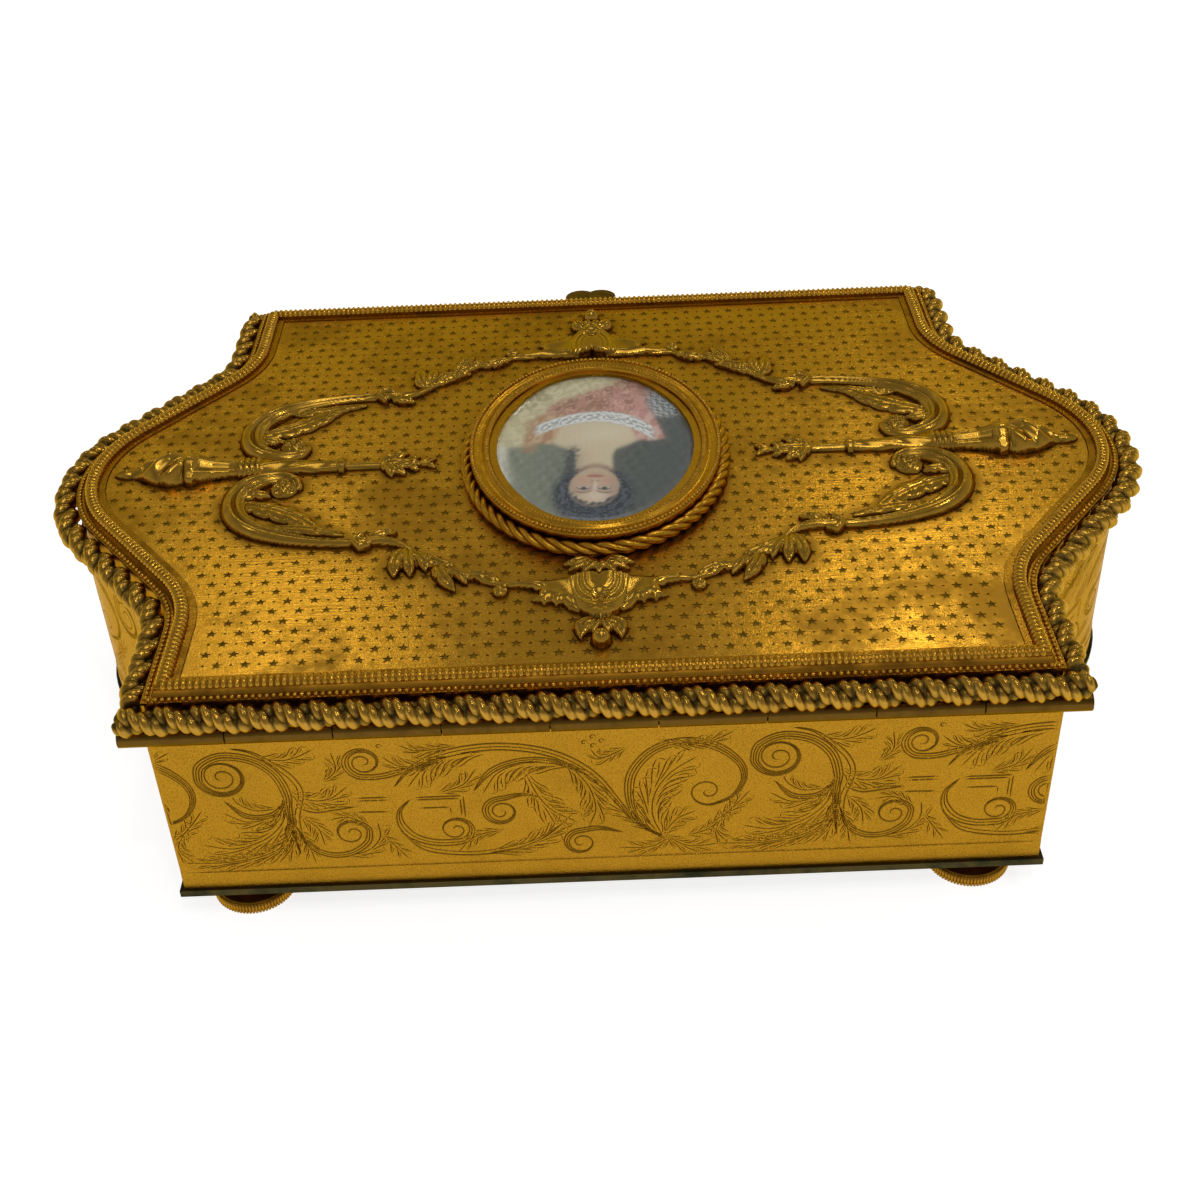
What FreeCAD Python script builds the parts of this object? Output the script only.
import FreeCAD, Part
import Sketcher
import math
import os
import re

# Jewelry casket in gilt brass: a low box with bracket-shaped ends, a hinged lid with a moulded frame,
# a stamped top panel, cast mounts and a glazed oval miniature. Millimetres, +Z up, +Y is the front.
# The origin is on the table below the middle of the box.

doc = FreeCAD.newDocument("casket")
sheet = doc.addObject("Spreadsheet::Sheet", "sizes")
pieces = []

SIZES = [
    # plan of the lid, measured on the milled ridge of its frame
    ("tip_half", 120.8), ("tip_round", 33), ("flare_angle", 17.05), ("waist_half", 88.9),
    ("waist_round", 28), ("depth_half", 81.2),
    # box
    ("foot_height", 6.3), ("foot_radius", 9.1), ("foot_disc", 2.9), ("foot_stem", 6), ("foot_chamfer", 0.5),
    ("foot_inset_x", 8.9), ("foot_inset_y", 3.9), ("screw_radius", 1.4), ("screw_head", 2.6),
    ("screw_head_thick", 1.6), ("screw_recess", 0.8), ("screw_clearance", 0.1),
    ("plate_thick", 1.7), ("plate_edge", 1), ("wall_out", 4.4), ("wall_thick", 2.4), ("wall_height", 44.3),
    ("rim_thick", 1), ("rim_depth", 12), ("rim_rise", 2),
    ("lining_thick", 1.4), ("floor_pad_thick", 3.6), ("lining_clearance", 0.1),
    # hinge
    ("barrel_radius", 2.1), ("barrel_overhang", 9.6), ("hinge_out", 4.8), ("knuckle_count", 9),
    ("knuckle_gap", 0.3), ("pin_radius", 0.9), ("pin_clearance", 0.05), ("leaf_thick", 0.8),
    ("tab_thick", 0.85), ("leaf_inset", 2.9), ("body_leaf_drop", 9), ("barrel_clearance", 0.3),
    ("rivet_radius", 0.7), ("rivet_head", 1.5), ("rivet_head_thick", 0.6), ("rivet_bite", 0.7),
    ("rivet_margin", 6), ("rivet_clearance", 0.02),
    # lid frame
    ("seam_gap", 0.3), ("lid_clearance", 0.3), ("skirt_thick", 1), ("skirt_height", 6),
    ("rail_base", 1.2), ("bead_overhang", 0.5), ("bead_strip", 0.6), ("bead_width", 1.8),
    ("cove_height", 1.5), ("cove_round", 2.2), ("ridge_half", 1.3), ("ridge_ease", 0.1),
    ("ridge_step", 0.6), ("panel_in", 3.1), ("panel_sink", 0.3), ("panel_thick", 1.2),
    ("panel_clearance", 0.1), ("ledge_width", 2.9), ("rope_radius", 3.2), ("rope_height", 5.3),
    ("front_rope_drop", 1.7), ("solder_gap", 0.05), ("lid_pad_thick", 2.6), ("lid_pad_inset", 0.6),
    # miniature
    ("bezel_half_width", 30), ("bezel_half_length", 40), ("bezel_end_inset", 6), ("bezel_height", 6),
    ("bezel_wall", 3.6), ("bezel_stem", 1), ("bezel_flange", 1.3), ("bezel_lip", 1.5), ("bezel_cove", 7.2),
    ("bezel_rope_radius", 1.7), ("slip_width", 1.7), ("slip_thick", 0.8), ("card_thick", 1),
    ("plaque_thick", 1.1), ("glass_thick", 1.6), ("glass_rise", 0.6), ("glass_bevel", 1.4),
    ("glaze_clearance", 0.1),
    # cast mounts
    ("torch_margin", 1.2), ("flame_length", 19.5), ("flame_waist", 2.4), ("cup_length", 11),
    ("cup_foot", 2.7), ("ring_length", 2), ("leaf_length", 13), ("torch_gap", 5.5), ("shaft_radius", 1.9),
    ("ring_radius", 3.2), ("cup_radius", 4.8), ("leaf_radius", 2.8),
    ("crest_margin", 2.3), ("bud_length", 10), ("crest_cup_length", 15), ("crest_width", 9.6),
    ("crest_height", 4.6), ("crest_gap", 1.2), ("palmette_width", 4.8), ("palmette_height", 3.2),
    ("bud_radius", 4.2), ("bud_height", 3.6), ("bud_overlap", 1.15),
    ("scroll_radius", 2), ("scroll_ease", 0.04), ("scroll_from_tip", 34.3), ("scroll_bend_y", 15.5),
    ("scroll_bend_round", 12), ("scroll_curl_round", 9.5), ("scroll_curl_turn", 30), ("scroll_turn", 18.3),
    ("scroll_lean", 1.7), ("scroll_sweep_round", 25), ("scroll_crest_side", 3.4), ("scroll_crest_gap", 2.4),
    ("peg_radius", 0.8), ("peg_clearance", 0.05), ("peg_end", 0.3), ("nut_radius", 2), ("nut_thick", 0.9),
    ("thumb_half", 6.8), ("thumb_notch", 4.6), ("thumb_lift_rise", 0.5), ("thumb_thick", 0.9),
    ("thumb_foot_half", 5), ("thumb_foot_thick", 1.6), ("lobe_ease", 0.16),
]
for row, (word, size) in enumerate(SIZES, start=1):
    sheet.set(f"A{row}", word.replace("_", " "))
    sheet.set(f"B{row}", str(size))
    sheet.setAlias(f"B{row}", word)
doc.recompute()

WORDS = re.compile(r"\b(" + "|".join(word for word, size in SIZES) + r")\b")


def bound(formula):
    return WORDS.sub(r"sizes.\1", formula)


def number(formula):
    return float(sheet.evalExpression(bound(formula)))


def tie(thing, prop, formula):
    thing.setExpression(prop, bound(formula))


# Heights, worked up from the table
plate_bottom = "foot_height"
wall_bottom = "(foot_height + plate_thick)"
wall_top = "(foot_height + plate_thick + wall_height)"
hinge_z = f"({wall_top} + seam_gap / 2)"
back_wall_top = f"({hinge_z} - barrel_radius - barrel_clearance)"
skirt_bottom = f"({wall_top} + seam_gap)"
rail_bottom = f"({skirt_bottom} + skirt_height)"
back_skirt_bottom = f"({hinge_z} + barrel_radius)"
bead_bottom = f"({rail_bottom} + rail_base)"
bead_top = f"({bead_bottom} + bead_strip)"
ridge_base = f"({bead_top} + cove_height)"
fillet_top = f"({ridge_base} - ridge_step)"
panel_top = f"({fillet_top} - panel_sink)"
panel_bottom = f"({panel_top} - panel_thick)"
rope_z = f"({skirt_bottom} + rope_height)"
hinge_y = "(depth_half + hinge_out)"

# Distances outward from the ridge line
wall_in = "(wall_out - wall_thick)"
rim_in = f"({wall_in} - rim_thick)"
skirt_in = f"({wall_in} + lid_clearance)"
skirt_out = f"({skirt_in} + skirt_thick)"
bead_out = f"({skirt_out} + bead_overhang)"
rope_out = f"({skirt_out} + rope_radius + solder_gap)"
panel_out = "(-panel_in - panel_clearance)"
lid_pad_out = f"({rim_in} - lid_pad_inset)"


def named_body(name, turn=0):
    piece = doc.addObject("PartDesign::Body", name)
    piece.Label = name
    piece.Placement = FreeCAD.Placement(FreeCAD.Vector(), FreeCAD.Rotation(FreeCAD.Vector(0, 0, 1), turn))
    pieces.append(piece)
    return piece


def origin_plane(piece, role):
    return next(item for item in piece.Origin.OriginFeatures if item.Role == role)


def new_sketch(piece, role, shift="0"):
    sketch = piece.newObject("Sketcher::SketchObject", piece.Name + "_sketch")
    sketch.AttachmentSupport = [(origin_plane(piece, role), "")]
    sketch.MapMode = "FlatFace"
    tie(sketch, "AttachmentOffset.Base.z", shift)
    return sketch


def place_point(sketch, edge, end, x, y):
    for kind, axis, formula in (("DistanceX", -2, x), ("DistanceY", -1, y)):
        if formula == "0":
            sketch.addConstraint(Sketcher.Constraint("PointOnObject", edge, end, axis))
            continue
        index = sketch.addConstraint(Sketcher.Constraint(kind, -1, 1, edge, end, number(formula)))
        tie(sketch, f"Constraints[{index}]", formula)


def set_radius(sketch, edge, radius):
    index = sketch.addConstraint(Sketcher.Constraint("Radius", edge, number(radius)))
    tie(sketch, f"Constraints[{index}]", radius)


# An outline is a row of corners (x, y) or (x, y, radius, turn): the edge that leaves such a corner
# is an arc of that radius, turning left for 1 and right for -1.
def draw(sketch, corners, closed=True):
    points = [FreeCAD.Vector(number(corner[0]), number(corner[1]), 0) for corner in corners]
    count = len(corners) if closed else len(corners) - 1
    edges = []
    for i in range(count):
        start = points[i]
        end = points[(i + 1) % len(points)]
        if len(corners[i]) == 2:
            edges.append((sketch.addGeometry(Part.LineSegment(start, end), False), 1, 2))
            continue
        radius = number(corners[i][2])
        turn = corners[i][3]
        chord = end - start
        rise = math.sqrt(max(radius ** 2 - chord.Length ** 2 / 4, 0))
        side = FreeCAD.Vector(-chord.y, chord.x, 0).normalize()
        centre = (start + end) * 0.5 + side * (rise * turn)
        first, last = (start, end) if turn > 0 else (end, start)
        angles = [math.atan2(p.y - centre.y, p.x - centre.x) for p in (first, last)]
        circle = Part.Circle(centre, FreeCAD.Vector(0, 0, 1), radius)
        edge = sketch.addGeometry(Part.ArcOfCircle(circle, angles[0], angles[1]), False)
        edges.append((edge, 1, 2) if turn > 0 else (edge, 2, 1))
    joints = count if closed else count - 1
    for i in range(joints):
        edge, start, end = edges[i]
        after = edges[(i + 1) % count]
        sketch.addConstraint(Sketcher.Constraint("Coincident", edge, end, after[0], after[1]))
    for i, (edge, start, end) in enumerate(edges):
        place_point(sketch, edge, start, corners[i][0], corners[i][1])
        if len(corners[i]) == 4:
            set_radius(sketch, edge, corners[i][2])
    if not closed:
        place_point(sketch, edges[-1][0], edges[-1][2], corners[-1][0], corners[-1][1])


def draw_circle(sketch, x, y, radius):
    centre = FreeCAD.Vector(number(x), number(y), 0)
    circle = Part.Circle(centre, FreeCAD.Vector(0, 0, 1), number(radius))
    edge = sketch.addGeometry(circle, False)
    place_point(sketch, edge, 3, x, y)
    set_radius(sketch, edge, radius)


def pad(piece, sketch, length, symmetric=False):
    feature = piece.newObject("PartDesign::Pad", piece.Name + "_pad")
    feature.Profile = sketch
    feature.SideType = "Symmetric" if symmetric else "One side"
    tie(feature, "Length", length)
    sketch.Visibility = False
    return feature


def pocket(piece, sketch, length, backward=False):
    doc.recompute()
    before = piece.Shape.Volume
    feature = piece.newObject("PartDesign::Pocket", piece.Name + "_pocket")
    feature.Profile = sketch
    feature.Reversed = backward
    tie(feature, "Length", length)
    doc.recompute()
    if not piece.Shape.Volume < before - 1e-6:
        raise RuntimeError(f"a cut in {piece.Name} removes nothing")
    return feature


def mirror(piece, feature, role):
    copy = piece.newObject("PartDesign::Mirrored", piece.Name + "_mirror")
    copy.Originals = [feature]
    copy.MirrorPlane = (origin_plane(piece, role), [""])
    piece.Tip = copy


def plate(name, corners, bottom, thick):
    piece = named_body(name)
    sketch = new_sketch(piece, "XY_Plane", bottom)
    draw(sketch, corners)
    pad(piece, sketch, thick)
    return piece


# The line of one bracket end, from its tip to the corner, at a distance outward from the ridge line:
# a round tip, a straight flare, a hollow waist and a straight run along Y. The flare angle is what
# the flare turns beyond the line from tip to corner.
def end_corners(out, end_y):
    flare = "(atan((tip_half - waist_half) / depth_half) + flare_angle * 1 deg)"
    across = f"cos({flare})"
    along = f"sin({flare})"
    tip_x = f"(tip_half - tip_round + (tip_round + {out}) * {across})"
    tip_y = f"((tip_round + {out}) * {along})"
    waist_x = f"(waist_half + waist_round - (waist_round - {out}) * {across})"
    waist_y = f"({tip_y} + ({tip_x} - {waist_x}) / tan({flare}))"
    waist_end = f"({waist_y} + (waist_round - {out}) * {along})"
    return [(f"tip_half + {out}", "0", f"tip_round + {out}", 1), (tip_x, tip_y),
            (waist_x, waist_y, f"waist_round - {out}", -1), (f"waist_half + {out}", waist_end),
            (f"waist_half + {out}", end_y)]


# The whole closed plan at a distance outward from the ridge line
def plan_corners(out):
    tip, flare, waist, waist_end, corner = end_corners(out, f"depth_half + {out}")
    outward = [flare, waist, waist_end, corner]
    inward = [corner, waist_end + waist[2:], waist[:2], flare + tip[2:]]
    loop = []
    for right, front, run in ((1, 1, outward), (-1, 1, inward), (-1, -1, outward), (1, -1, inward)):
        loop += [(f"{right} * ({x})", f"{front} * ({y})", *arc) for x, y, *arc in run]
    return loop


# A piece that follows a bracket end: its section stands at the tip and is swept to both corners
def end_piece(name, section, out, end_y, turn, section_circle=None):
    piece = named_body(name, turn)
    route = new_sketch(piece, "XY_Plane")
    draw(route, end_corners(out, end_y), closed=False)
    profile = new_sketch(piece, "XZ_Plane")
    if section_circle:
        draw_circle(profile, *section_circle)
    else:
        draw(profile, section)
    sweep = piece.newObject("PartDesign::AdditivePipe", name + "_sweep")
    sweep.Profile = profile
    sweep.Spine = (route, [])
    mirror(piece, sweep, "XZ_Plane")
    return piece


# A straight piece along X: its section stands in the YZ plane
def straight_piece(name, section, half_length, turn):
    piece = named_body(name, turn)
    sketch = new_sketch(piece, "YZ_Plane")
    draw(sketch, section)
    pad(piece, sketch, f"2 * ({half_length})", symmetric=True)
    return piece


def strip(base, inner, outer, bottom, top):
    return [(f"{base} + {inner}", bottom), (f"{base} + {outer}", bottom),
            (f"{base} + {outer}", top), (f"{base} + {inner}", top)]


FRONT_BACK = (("front", 0), ("back", 180))
RIGHT_LEFT = (("right", 0), ("left", 180))
CORNERS = [("front_right", 1, 1), ("front_left", -1, 1), ("back_left", -1, -1), ("back_right", 1, -1)]

# Base plate, with a hole for each foot screw
foot_x = "(waist_half - foot_inset_x)"
foot_y = "(depth_half - foot_inset_y)"
base_plate = plate("base_plate", plan_corners("(wall_out + plate_edge)"), plate_bottom, "plate_thick")
holes = new_sketch(base_plate, "XY_Plane", plate_bottom)
for name, right, front in CORNERS:
    draw_circle(holes, f"{right} * {foot_x}", f"{front} * {foot_y}", "screw_radius + screw_clearance")
pocket(base_plate, holes, "plate_thick", backward=True)

# Turned feet and the screws that hold them
for name, right, front in CORNERS:
    foot = named_body("foot_" + name)
    screw_hole = "screw_radius + screw_clearance"
    recess = "screw_head + screw_clearance"
    recess_top = "(screw_recess + screw_head_thick)"
    profile = new_sketch(foot, "XZ_Plane")
    draw(profile, [(screw_hole, recess_top), (recess, recess_top), (recess, "0"),
                   ("foot_radius - foot_chamfer", "0"), ("foot_radius", "foot_chamfer"),
                   ("foot_radius", "foot_disc - foot_chamfer"), ("foot_radius - foot_chamfer", "foot_disc"),
                   ("foot_stem", "foot_disc"), ("foot_stem", "foot_height"), (screw_hole, "foot_height")])
    turning = foot.newObject("PartDesign::Revolution", foot.Name + "_turning")
    turning.Profile = profile
    turning.ReferenceAxis = (profile, ["V_Axis"])
    turning.Angle = 360
    tie(foot, "Placement.Base.x", f"{right} * {foot_x}")
    tie(foot, "Placement.Base.y", f"{front} * {foot_y}")

foot_screws = named_body("foot_screws")
foot_screws.AllowCompound = True
for radius, bottom, length in (("screw_head", "screw_recess", "screw_head_thick"),
                               ("screw_radius", "(screw_recess + screw_head_thick)",
                                f"{wall_bottom} - screw_recess - screw_head_thick")):
    circles = new_sketch(foot_screws, "XY_Plane", bottom)
    for name, right, front in CORNERS:
        draw_circle(circles, f"{right} * {foot_x}", f"{front} * {foot_y}", radius)
    pad(foot_screws, circles, length)

# Walls: the front and back run the full width, the bracket ends stand between them
straight_piece("front_wall", strip("depth_half", wall_in, "wall_out", wall_bottom, wall_top),
               "waist_half + wall_out", 0)
back_wall = straight_piece("back_wall", strip("depth_half", wall_in, "wall_out", wall_bottom, back_wall_top),
                           "waist_half + wall_out", 180)
for side, turn in RIGHT_LEFT:
    end_piece(side + "_end_wall", strip("tip_half", wall_in, "wall_out", wall_bottom, wall_top),
              "0", f"depth_half + {wall_in}", turn)

# Rim strips inside the mouth, which the lid's skirt drops over, and the lined panels below them
rim_bottom = f"({wall_top} - rim_depth)"
rim_top = f"({wall_top} + rim_rise)"
straight_piece("front_rim", strip("depth_half", rim_in, wall_in, rim_bottom, rim_top),
               f"waist_half + {wall_in}", 0)
for side, turn in RIGHT_LEFT:
    end_piece(side + "_rim", strip("tip_half", rim_in, wall_in, rim_bottom, rim_top),
              "0", f"depth_half + {rim_in}", turn)

lining_out = f"({wall_in} - lining_clearance)"
lining_in = f"({lining_out} - lining_thick)"
lining_bottom = f"({wall_bottom} + floor_pad_thick + lining_clearance)"
lining_top = f"({rim_bottom} - lining_clearance)"
for side, turn in FRONT_BACK:
    straight_piece(side + "_lining", strip("depth_half", lining_in, lining_out, lining_bottom, lining_top),
                   f"waist_half + {lining_out}", turn)
for side, turn in RIGHT_LEFT:
    end_piece(side + "_lining", strip("tip_half", lining_in, lining_out, lining_bottom, lining_top),
              "0", f"depth_half + {lining_in} - lining_clearance", turn)
plate("floor_pad", plan_corners(f"({wall_in} - lining_clearance)"), wall_bottom, "floor_pad_thick")

# Barrel hinge along the back seam. The leaves lie inside the wall and the skirt, and their tabs
# reach over the edges to the knuckles, which take turns along the pin.
barrel_half = "(waist_half + barrel_overhang)"
knuckle_pitch = f"(2 * {barrel_half} / knuckle_count)"
leaf_half = "(waist_half - leaf_inset)"
flange_y = f"({hinge_y} - barrel_radius - barrel_clearance)"


def hinge_leaf(name, section, tab_low, first, turns):
    piece = named_body(name, 180)
    leaf = new_sketch(piece, "YZ_Plane")
    draw(leaf, section)
    pad(piece, leaf, f"2 * {leaf_half}", symmetric=True)
    start = f"-{barrel_half} + {first} * {knuckle_pitch} + knuckle_gap / 2"
    length = f"{knuckle_pitch} - knuckle_gap"
    tab = new_sketch(piece, "YZ_Plane", start)
    tab_high = f"{tab_low} + tab_thick"
    draw(tab, [(flange_y, tab_low), (hinge_y, tab_low), (hinge_y, tab_high), (flange_y, tab_high)])
    tab_pad = pad(piece, tab, length)
    ring = new_sketch(piece, "YZ_Plane", start)
    draw_circle(ring, hinge_y, hinge_z, "barrel_radius")
    draw_circle(ring, hinge_y, hinge_z, "pin_radius + pin_clearance")
    ring_pad = pad(piece, ring, length)
    row = piece.newObject("PartDesign::LinearPattern", name + "_row")
    row.Originals = [tab_pad, ring_pad]
    row.Direction = (ring, ["N_Axis"])
    tie(row, "Length", f"2 * {knuckle_pitch} * ({turns} - 1)")
    tie(row, "Occurrences", turns)
    piece.Tip = row
    return piece


body_face = f"(depth_half + {wall_in})"
body_inner = f"({body_face} - leaf_thick)"
body_low = f"({back_wall_top} - body_leaf_drop)"
body_flange_top = f"({back_wall_top} + tab_thick)"
body_leaf = hinge_leaf("hinge_body_leaf", [
    (body_inner, body_low), (body_face, body_low), (body_face, back_wall_top), (flange_y, back_wall_top),
    (flange_y, body_flange_top), (body_inner, body_flange_top)],
    back_wall_top, 0, "ceil(knuckle_count / 2)")
lid_face = f"(depth_half + {skirt_in})"
lid_inner = f"({lid_face} - leaf_thick)"
lid_tab = f"({back_skirt_bottom} - tab_thick)"
lid_leaf = hinge_leaf("hinge_lid_leaf", [
    (lid_inner, lid_tab), (flange_y, lid_tab), (flange_y, back_skirt_bottom), (lid_face, back_skirt_bottom),
    (lid_face, rail_bottom), (lid_inner, rail_bottom)],
    lid_tab, 1, "floor(knuckle_count / 2)")

hinge_pin = named_body("hinge_pin", 180)
pin_end = new_sketch(hinge_pin, "YZ_Plane")
draw_circle(pin_end, hinge_y, hinge_z, "pin_radius")
pad(hinge_pin, pin_end, f"2 * {barrel_half}", symmetric=True)

# Lid skirt: plain strips that stand over the rim
straight_piece("front_skirt", strip("depth_half", skirt_in, skirt_out, skirt_bottom, rail_bottom),
               f"waist_half + {skirt_out}", 0)
back_skirt = straight_piece("back_skirt",
                            strip("depth_half", skirt_in, skirt_out, back_skirt_bottom, rail_bottom),
                            f"waist_half + {skirt_out}", 180)
for side, turn in RIGHT_LEFT:
    end_piece(side + "_skirt", strip("tip_half", skirt_in, skirt_out, skirt_bottom, rail_bottom),
              "0", f"depth_half + {skirt_in}", turn)


# Hinge rivets: a head on the inner face of the leaf and a shank into the wall or skirt behind it
rivet_step = f"(({leaf_half} - rivet_margin) / 2)"
rivet_places = [f"-2 * {rivet_step}", f"-{rivet_step}", "0", rivet_step, f"2 * {rivet_step}"]


def rivet_row(name, leaf, backing, inner, height):
    rivets = named_body(name, 180)
    rivets.AllowCompound = True
    for piece, radius, start, length, cut in (
            (rivets, "rivet_head", f"({inner} - rivet_head_thick)", "rivet_head_thick", False),
            (rivets, "rivet_radius", inner, "leaf_thick + rivet_bite", False),
            (leaf, "rivet_radius + rivet_clearance", inner, "leaf_thick", True),
            (backing, "rivet_radius + rivet_clearance", f"({inner} + leaf_thick)", "rivet_bite", True)):
        sketch = new_sketch(piece, "XZ_Plane", f"-{start}")
        for place in rivet_places:
            draw_circle(sketch, place, height, radius)
        if cut:
            pocket(piece, sketch, length)
        else:
            pad(piece, sketch, length).Reversed = True


rivet_row("hinge_body_rivets", body_leaf, back_wall, body_inner, f"({back_wall_top} - body_leaf_drop / 2)")
rivet_row("hinge_lid_rivets", lid_leaf, back_skirt, lid_inner, f"(({back_skirt_bottom} + {rail_bottom}) / 2)")


# Lid frame: drawn mouldings mitred at the corners. From the outside in: pearl strip, cove,
# milled ridge, flat fillet and the ledge that carries the panel.
def rail_section(base):
    ledge_in = "(-panel_in - ledge_width)"
    return [(f"{base} + {ledge_in}", rail_bottom), (f"{base} + {skirt_out}", rail_bottom),
            (f"{base} + {skirt_out}", bead_bottom), (f"{base} + {bead_out}", bead_bottom),
            (f"{base} + {bead_out}", bead_top),
            (f"{base} + {bead_out} - bead_width", bead_top, "cove_round", -1),
            (f"{base} + ridge_half", ridge_base, "ridge_half + ridge_ease", 1),
            (f"{base} - ridge_half", ridge_base),
            (f"{base} - ridge_half", fillet_top), (f"{base} - panel_in", fillet_top),
            (f"{base} - panel_in", panel_bottom), (f"{base} + {ledge_in}", panel_bottom)]


mitre_reach = "(2 * ledge_width + 2 * panel_in)"
rail_height = "(rail_base + bead_strip + cove_height + ridge_half)"
for side, turn in FRONT_BACK:
    rail = straight_piece(side + "_rail", rail_section("depth_half"), f"waist_half + {bead_out}", turn)
    mitre = new_sketch(rail, "XY_Plane", rail_bottom)
    for right in (1, -1):
        inner_x = f"{right} * (waist_half - {mitre_reach})"
        draw(mitre, [(inner_x, f"depth_half - {mitre_reach}"),
                     (f"{right} * (waist_half + {mitre_reach})", f"depth_half + {mitre_reach}"),
                     (f"{right} * (waist_half + {mitre_reach})", f"depth_half - {mitre_reach}")])
    pocket(rail, mitre, rail_height, backward=True)
for side, turn in RIGHT_LEFT:
    rail = end_piece(side + "_rail", rail_section("tip_half"), "0", f"depth_half + {bead_out}", turn)
    mitre = new_sketch(rail, "XY_Plane", rail_bottom)
    for front in (1, -1):
        draw(mitre, [(f"waist_half - {mitre_reach}", f"{front} * (depth_half - {mitre_reach})"),
                     (f"waist_half + {mitre_reach}", f"{front} * (depth_half + {mitre_reach})"),
                     (f"waist_half - {mitre_reach}", f"{front} * (depth_half + {mitre_reach})")])
    pocket(rail, mitre, rail_height, backward=True)

# Rope border soldered to the skirt, as plain rods of its outer size. The front one sits lower, so that
# the thumb lift clears it.
for side, turn in FRONT_BACK:
    rope = named_body(side + "_rope", turn)
    rod = new_sketch(rope, "YZ_Plane")
    level = f"({rope_z} - front_rope_drop)" if side == "front" else rope_z
    draw_circle(rod, f"depth_half + {rope_out}", level, "rope_radius")
    pad(rope, rod, f"2 * (waist_half + {rope_out} + rope_radius)", symmetric=True)
for side, turn in RIGHT_LEFT:
    end_piece(side + "_rope", None, rope_out, f"depth_half + {skirt_out}", turn,
              section_circle=(f"tip_half + {rope_out}", rope_z, "rope_radius"))

# Stamped top panel on the ledge of the frame, and the padded lining below it
lid_panel = plate("lid_panel", plan_corners(panel_out), panel_bottom, "panel_thick")
lid_pad_top = f"({rail_bottom} - lining_clearance)"
lid_pad = plate("lid_pad", plan_corners(lid_pad_out), f"{lid_pad_top} - lid_pad_thick", "lid_pad_thick")


# Oval miniature: four arcs, with the same centres for every ring of the bezel
def oval_corners(out):
    width = "bezel_half_width"
    length = "bezel_half_length"
    small = "(bezel_half_width - bezel_end_inset)"
    large = f"(({length} ^ 2 + {width} ^ 2 - 2 * {length} * {small}) / (2 * bezel_end_inset))"
    gap = f"({large} - {small})"
    join_x = f"(({small} + {out}) * ({large} - {width}) / {gap})"
    join_y = f"(({length} - {small}) * (1 + ({small} + {out}) / {gap}))"
    return join_x, join_y, f"({small} + {out})", f"({large} + {out})"


def oval_loop(out):
    x, y, small, large = oval_corners(out)
    return [(x, f"-{y}", large, 1), (x, y, small, 1), (f"-{x}", y, large, 1), (f"-{x}", f"-{y}", small, 1)]


def oval_ring(name, section, route_out, section_circle=None):
    piece = named_body(name)
    x, y, small, large = oval_corners(route_out)
    end_y = f"bezel_half_length + {route_out}"
    route = new_sketch(piece, "XY_Plane")
    draw(route, [("0", f"-({end_y})", small, 1), (x, f"-{y}", large, 1), (x, y, small, 1), ("0", end_y)],
         closed=False)
    profile = new_sketch(piece, "YZ_Plane")
    if section_circle:
        draw_circle(profile, *section_circle)
    else:
        draw(profile, section)
    sweep = piece.newObject("PartDesign::AdditivePipe", name + "_sweep")
    sweep.Profile = profile
    sweep.Spine = (route, [])
    mirror(piece, sweep, "YZ_Plane")
    return piece


bezel_in = "(-bezel_stem - bezel_wall)"
flange_bottom = f"({panel_top} + bezel_height - bezel_flange)"
bezel_top = f"({panel_top} + bezel_height)"
card_top = f"({panel_top} + card_thick)"
plaque_top = f"({card_top} + plaque_thick)"
glass_top = f"({plaque_top} + glass_thick)"
slip_top = f"({glass_top} + slip_thick)"


def at_oval(out):
    return f"-(bezel_half_length + {out})"


bezel = oval_ring("bezel", [
    (at_oval(bezel_in), panel_top), (at_oval(bezel_in), slip_top),
    (at_oval("(-bezel_lip)"), bezel_top, "bezel_cove", -1),
    (at_oval("0"), bezel_top), (at_oval("0"), flange_bottom), (at_oval("(-bezel_stem)"), flange_bottom),
    (at_oval("(-bezel_stem)"), panel_top)][::-1], "0")
bezel_rope_out = "(-bezel_stem + bezel_rope_radius + solder_gap)"
oval_ring("bezel_rope", None, bezel_rope_out,
          section_circle=(at_oval(bezel_rope_out), f"{panel_top} + bezel_rope_radius + solder_gap",
                          "bezel_rope_radius"))
glaze_out = f"({bezel_in} - glaze_clearance)"
oval_ring("slip_ring", [(at_oval(f"({glaze_out} - slip_width)"), glass_top), (at_oval(glaze_out), glass_top),
                        (at_oval(glaze_out), slip_top), (at_oval(f"({glaze_out} - slip_width)"), slip_top)],
          bezel_in)
plate("backing_card", oval_loop(glaze_out), panel_top, "card_thick")
plate("miniature_plaque", oval_loop(glaze_out), card_top, "plaque_thick")
cover_glass = plate("cover_glass", oval_loop(glaze_out), plaque_top, "glass_thick")
bevel_out = f"({glaze_out} - slip_width - glaze_clearance)"
bevel_foot = new_sketch(cover_glass, "XY_Plane", glass_top)
draw(bevel_foot, oval_loop(bevel_out))
bevel_head = new_sketch(cover_glass, "XY_Plane", f"{glass_top} + glass_rise")
draw(bevel_head, oval_loop(f"({bevel_out} - glass_bevel)"))
bevel = cover_glass.newObject("PartDesign::AdditiveLoft", "cover_glass_bevel")
bevel.Profile = bevel_foot
bevel.Sections = [bevel_head]
bevel.Ruled = True


# Cast mounts: flat-backed, each with pegs through the panel and a nut on every peg
peg_places = []
peg_length = "(panel_thick + nut_thick + peg_end)"


def add_pegs(piece, places):
    sketch = new_sketch(piece, "XY_Plane", panel_top)
    for x, y in places:
        draw_circle(sketch, x, y, "peg_radius")
    pad(piece, sketch, peg_length).Reversed = True


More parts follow.
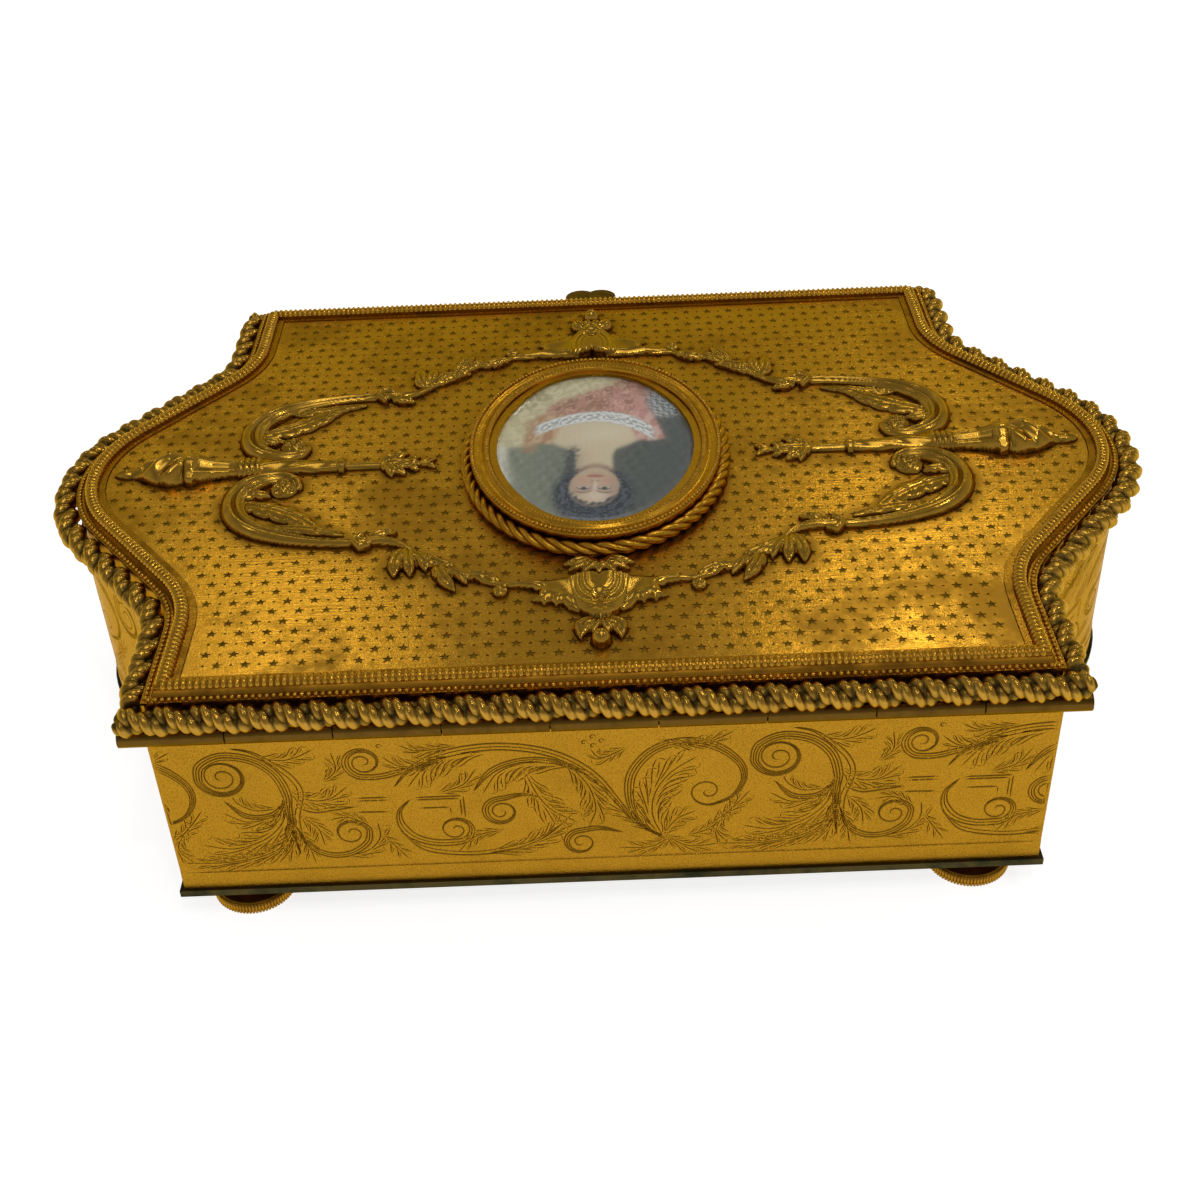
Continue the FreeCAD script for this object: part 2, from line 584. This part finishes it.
bezel_middle = "(bezel_stem + bezel_wall / 2)"
bezel_pegs = [(f"{right} * (bezel_half_width - {bezel_middle})", "0") for right in (1, -1)]
bezel_pegs += [("0", f"{front} * (bezel_half_length - {bezel_middle})") for front in (1, -1)]
add_pegs(bezel, bezel_pegs)
peg_places += bezel_pegs

tip_edge = "(tip_half - panel_in - torch_margin)"
flame_start = f"({tip_edge} - flame_length)"
cup_start = f"({flame_start} - cup_length)"
ring_start = f"({cup_start} - ring_length)"
leaf_start = "(bezel_half_width + 2 * bezel_rope_radius - bezel_stem + torch_gap)"
shaft_start = f"({leaf_start} + leaf_length)"
torch_pegs = [(f"({shaft_start} + leaf_length)", "0"), (f"({flame_start} - cup_length / 2)", "0")]
for side, turn in RIGHT_LEFT:
    torch = named_body(side + "_torch", turn)
    half = new_sketch(torch, "XY_Plane", panel_top)
    draw(half, [(leaf_start, "0"), (tip_edge, "0"), (f"{tip_edge} - flame_length / 2", "flame_waist"),
                (flame_start, "cup_radius"), (cup_start, "cup_foot"),
                (cup_start, "ring_radius"), (ring_start, "ring_radius"), (ring_start, "shaft_radius"),
                (shaft_start, "shaft_radius"), (f"{leaf_start} + leaf_length / 2", "leaf_radius")])
    turning = torch.newObject("PartDesign::Revolution", torch.Name + "_turning")
    turning.Profile = half
    turning.ReferenceAxis = (half, ["H_Axis"])
    turning.Angle = 180
    add_pegs(torch, torch_pegs)
for right in (1, -1):
    peg_places += [(f"{right} * {x}", y) for x, y in torch_pegs]

# Crests on the cross axis: a ribbed cup with a palmette behind it and a bud before it
crest_edge = "(depth_half - panel_in - crest_margin)"
crest_cup_y = f"({crest_edge} - bud_length - crest_cup_length / 2)"
palmette_start = "(bezel_half_length + 2 * bezel_rope_radius - bezel_stem + crest_gap)"
palmette_half = f"(({crest_cup_y} - {palmette_start}) / 2)"
CREST_LOBES = (
    ("cup", crest_cup_y, "crest_width", "crest_cup_length / 2", "crest_height"),
    ("palmette", f"({palmette_start} + {palmette_half})", "palmette_width", palmette_half, "palmette_height"),
    ("bud", f"({crest_edge} - bud_length / 2)", "bud_radius", "bud_length / 2 + bud_overlap", "bud_height"),
)
for side, sign in (("front", 1), ("back", -1)):
    lobes = []
    for word, centre, half_x, half_y, height in CREST_LOBES:
        lobe = doc.addObject("Part::Ellipsoid", f"{side}_crest_{word}")
        tie(lobe, "Radius1", height)
        tie(lobe, "Radius2", half_x)
        tie(lobe, "Radius3", half_y)
        lobe.Angle1 = 0
        tie(lobe, "Placement.Base.y", f"{sign} * {centre}")
        tie(lobe, "Placement.Base.z", panel_top)
        lobes.append(lobe)
    for place in (crest_cup_y, f"({crest_edge} - bud_length / 2)"):
        peg = doc.addObject("Part::Cylinder", f"{side}_crest_peg")
        tie(peg, "Radius", "peg_radius")
        tie(peg, "Height", f"{peg_length} + peg_end")
        tie(peg, "Placement.Base.y", f"{sign} * {place}")
        tie(peg, "Placement.Base.z", f"{panel_top} - {peg_length}")
        lobes.append(peg)
        peg_places.append(("0", f"{sign} * {place}"))
    crest = doc.addObject("Part::MultiFuse", side + "_crest")
    crest.Label = side + "_crest"
    crest.Shapes = lobes
    pieces.append(crest)

# Scrolls: a half-round bar that curls beside the torch, bends round and runs to the crest
bend_x = "(tip_half - scroll_from_tip)"
scroll_end_x = "(crest_width + scroll_crest_side)"
scroll_end_y = f"({crest_cup_y} - scroll_crest_gap)"
# The bend turns a little past the line from its centre to the crest, and the tail leans back over it
scroll_aim = f"atan(({bend_x} - scroll_bend_round - {scroll_end_x}) / ({scroll_end_y} - scroll_bend_y))"
bend_turn = f"({scroll_aim} + scroll_turn * 1 deg)"
tail_lean = f"({scroll_aim} + 90 deg - scroll_lean * 1 deg)"


def scroll_route(piece):
    sketch = new_sketch(piece, "XY_Plane")
    start = FreeCAD.Vector(number(bend_x), number("scroll_bend_y"), 0)
    round_centre = start - FreeCAD.Vector(number("scroll_bend_round"), 0, 0)
    turn = math.radians(number(bend_turn))
    lean = math.radians(number(tail_lean))
    outward = FreeCAD.Vector(math.cos(turn), math.sin(turn), 0)
    first_turn_end = round_centre + outward * number("scroll_bend_round")
    heading = FreeCAD.Vector(-math.sin(turn), math.cos(turn), 0)
    last = FreeCAD.Vector(number(scroll_end_x), number(scroll_end_y), 0)
    last_heading = FreeCAD.Vector(math.cos(lean), math.sin(lean), 0)
    between = last - first_turn_end
    cross = heading.x * last_heading.y - heading.y * last_heading.x
    reach = (between.x * last_heading.y - between.y * last_heading.x) / cross
    corner = first_turn_end + heading * reach
    cut = number("scroll_sweep_round") * math.tan((turn + math.pi / 2 - lean) / 2)
    bend = Part.Circle(round_centre, FreeCAD.Vector(0, 0, 1), number("scroll_bend_round"))
    first = sketch.addGeometry(Part.ArcOfCircle(bend, 0, turn), False)
    run = sketch.addGeometry(Part.LineSegment(first_turn_end, corner - heading * cut), False)
    side = FreeCAD.Vector(heading.y, -heading.x, 0)
    sweep_centre = corner - heading * cut + side * number("scroll_sweep_round")
    sweep_circle = Part.Circle(sweep_centre, FreeCAD.Vector(0, 0, 1), number("scroll_sweep_round"))
    sweep = sketch.addGeometry(Part.ArcOfCircle(sweep_circle, lean + math.pi / 2, turn + math.pi), False)
    tail = sketch.addGeometry(Part.LineSegment(corner + last_heading * cut, last), False)
    place_point(sketch, first, 1, bend_x, "scroll_bend_y")
    place_point(sketch, first, 3, f"{bend_x} - scroll_bend_round", "scroll_bend_y")
    sketch.addConstraint(Sketcher.Constraint("Tangent", first, 2, run, 1))
    sketch.addConstraint(Sketcher.Constraint("Tangent", run, 2, sweep, 2))
    sketch.addConstraint(Sketcher.Constraint("Tangent", sweep, 1, tail, 1))
    set_radius(sketch, sweep, "scroll_sweep_round")
    place_point(sketch, tail, 2, scroll_end_x, scroll_end_y)
    for line, angle in ((run, f"{bend_turn} + 90 deg"), (tail, tail_lean)):
        index = sketch.addConstraint(Sketcher.Constraint("Angle", line, math.radians(number(angle))))
        tie(sketch, f"Constraints[{index}]", angle)
    return sketch


def scroll_section(piece):
    sketch = new_sketch(piece, "XZ_Plane", "-scroll_bend_y")
    draw(sketch, [(f"{bend_x} - scroll_radius", panel_top),
                  (f"{bend_x} + scroll_radius", panel_top, "scroll_radius + scroll_ease", 1)])
    return sketch


def scroll_bar(piece, route):
    bar = piece.newObject("PartDesign::AdditivePipe", piece.Name + "_bar")
    bar.Profile = scroll_section(piece)
    bar.Spine = (route, [])


curl_x = f"({bend_x} - scroll_curl_round)"
scroll_peg_x = f"({bend_x} - scroll_bend_round + scroll_bend_round * cos({bend_turn}))"
scroll_peg_y = f"(scroll_bend_y + scroll_bend_round * sin({bend_turn}))"
for place, opposite, turn in (("front_right", "front_left", 0), ("back_left", "back_right", 180)):
    scroll = named_body(place + "_scroll", turn)
    scroll_bar(scroll, scroll_route(scroll))
    curl = new_sketch(scroll, "XY_Plane")
    draw(curl, [(bend_x, "scroll_bend_y", "scroll_curl_round", -1),
                (curl_x, "scroll_bend_y - scroll_curl_round", "scroll_curl_round", -1),
                (f"{curl_x} - scroll_curl_round * sin(scroll_curl_turn)",
                 "scroll_bend_y - scroll_curl_round * cos(scroll_curl_turn)")], closed=False)
    scroll_bar(scroll, curl)
    add_pegs(scroll, [(scroll_peg_x, scroll_peg_y)])
    twin = doc.addObject("Part::Mirroring", opposite + "_scroll")
    twin.Label = opposite + "_scroll"
    twin.Source = scroll
    twin.Normal = FreeCAD.Vector(1, 0, 0)
    pieces.append(twin)
for name, right, front in CORNERS:
    peg_places.append((f"{right} * {scroll_peg_x}", f"{front} * {scroll_peg_y}"))

# Holes for the pegs, and their nuts
holes = new_sketch(lid_panel, "XY_Plane", panel_bottom)
mount_nuts = named_body("mount_nuts")
mount_nuts.AllowCompound = True
rings = new_sketch(mount_nuts, "XY_Plane", f"{panel_bottom} - nut_thick")
for x, y in peg_places:
    draw_circle(holes, x, y, "peg_radius + peg_clearance")
    draw_circle(rings, x, y, "nut_radius")
    draw_circle(rings, x, y, "peg_radius + peg_clearance")
pocket(lid_panel, holes, "panel_thick", backward=True)
pad(mount_nuts, rings, "nut_thick")

# Thumb lift: a two-lobed plate over the rope, on a foot that stands on the front pearl strip
thumb_lift = named_body("thumb_lift")
thumb_back = f"(depth_half + {bead_out} - thumb_foot_thick)"
thumb_foot = new_sketch(thumb_lift, "XY_Plane", bead_top)
thumb_front = f"(depth_half + {bead_out})"
draw(thumb_foot, [("-thumb_foot_half", thumb_back), ("thumb_foot_half", thumb_back),
                  ("thumb_foot_half", thumb_front), ("-thumb_foot_half", thumb_front)])
pad(thumb_lift, thumb_foot, "thumb_lift_rise")
lobes = new_sketch(thumb_lift, "XY_Plane", f"{bead_top} + thumb_lift_rise")
lobe_round = "(sqrt(thumb_half ^ 2 + thumb_notch ^ 2) / 2 + lobe_ease)"
draw(lobes, [("-thumb_half", thumb_back), ("thumb_half", thumb_back, lobe_round, 1),
             ("0", f"{thumb_back} + thumb_notch", lobe_round, 1)])
pad(thumb_lift, lobes, "thumb_thick")

doc.recompute()
for thing in doc.Objects:
    if {"Invalid", "Error"} & set(thing.State):
        raise RuntimeError(f"{thing.Label} did not build")
os.makedirs("parts", exist_ok=True)
for piece in pieces:
    shape = piece.Shape
    if shape.isNull() or not shape.isValid():
        raise RuntimeError(f"{piece.Label} has no valid shape")
    shape.exportStep(f"parts/{piece.Label}.step")
    box = shape.optimalBoundingBox()
    print(f"{piece.Label:20s} {len(shape.Solids):3d} solids {shape.Volume:10.1f} mm3  "
          f"x {box.XMin:7.2f} {box.XMax:7.2f}  y {box.YMin:7.2f} {box.YMax:7.2f}  "
          f"z {box.ZMin:6.2f} {box.ZMax:6.2f}")
